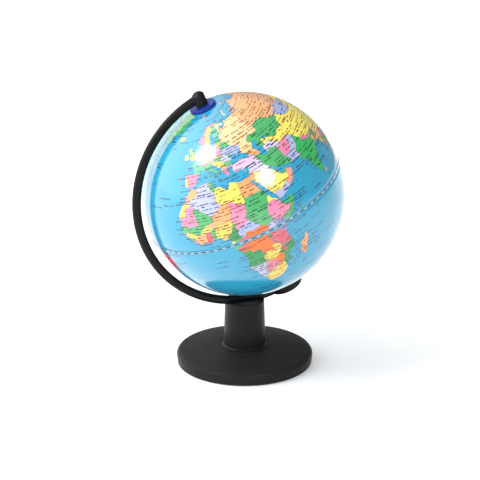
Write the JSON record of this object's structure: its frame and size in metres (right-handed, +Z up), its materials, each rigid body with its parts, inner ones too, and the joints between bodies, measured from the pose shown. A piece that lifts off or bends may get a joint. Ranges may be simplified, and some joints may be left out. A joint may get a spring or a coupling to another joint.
{
  "type": "desktop globe on stand",
  "caption": "Desktop globe with a political map, turning on a tilted axis in a half-round arm, on a column and a weighted round base.",
  "frame": {"origin": "centre of the base's resting face", "axes": "+Z up; the arm lies in the XZ plane on the -X side, and the north end of the globe's axis leans towards -X"},
  "size_m": [0.2143, 0.2004, 0.2828],
  "materials": {
    "stand_plastic": "moulded black, semi-gloss",
    "ballast_steel": "plain pressed steel",
    "screw_steel": "zinc plated",
    "foot_foam": "closed-cell foam, matt",
    "nylon": "natural nylon",
    "shell_plastic": "moulded styrene, unpainted",
    "printed_map": "printed and clear coated, glossy",
    "printed_tape": "printed and clear coated, glossy",
    "cap_plastic": "moulded blue, glossy"
  },
  "bodies": {
    "stand": {"base_cover": "stand_plastic", "base_plate": "stand_plastic", "ballast_disc": "ballast_steel", "base_screws": "screw_steel", "foot_pad": "foot_foam", "column": "stand_plastic", "column_screws": "screw_steel", "meridian_arm": "stand_plastic", "arm_screws": "screw_steel", "north_pivot_pin": "screw_steel", "north_pin_cap": "stand_plastic", "north_thrust_washer": "nylon", "south_pivot_pin": "screw_steel", "south_pin_plug": "stand_plastic", "south_thrust_washer": "nylon"},
    "globe": {"north_shell": "shell_plastic", "south_shell": "shell_plastic", "joining_ring": "shell_plastic", "north_map": "printed_map", "south_map": "printed_map", "equator_tape": "printed_tape", "north_pole_cap": "cap_plastic", "south_pole_cap": "cap_plastic", "north_bush": "nylon", "south_bush": "nylon", "north_retainer": "nylon", "south_retainer": "nylon"}
  },
  "joints": [
    {"name": "globe_spin", "type": "hinge", "parent": "stand", "child": "globe", "pos_m": [-0.0012, 0, 0.1759], "axis": [-0.4147, 0, 0.91], "continuous": true}
  ]
}
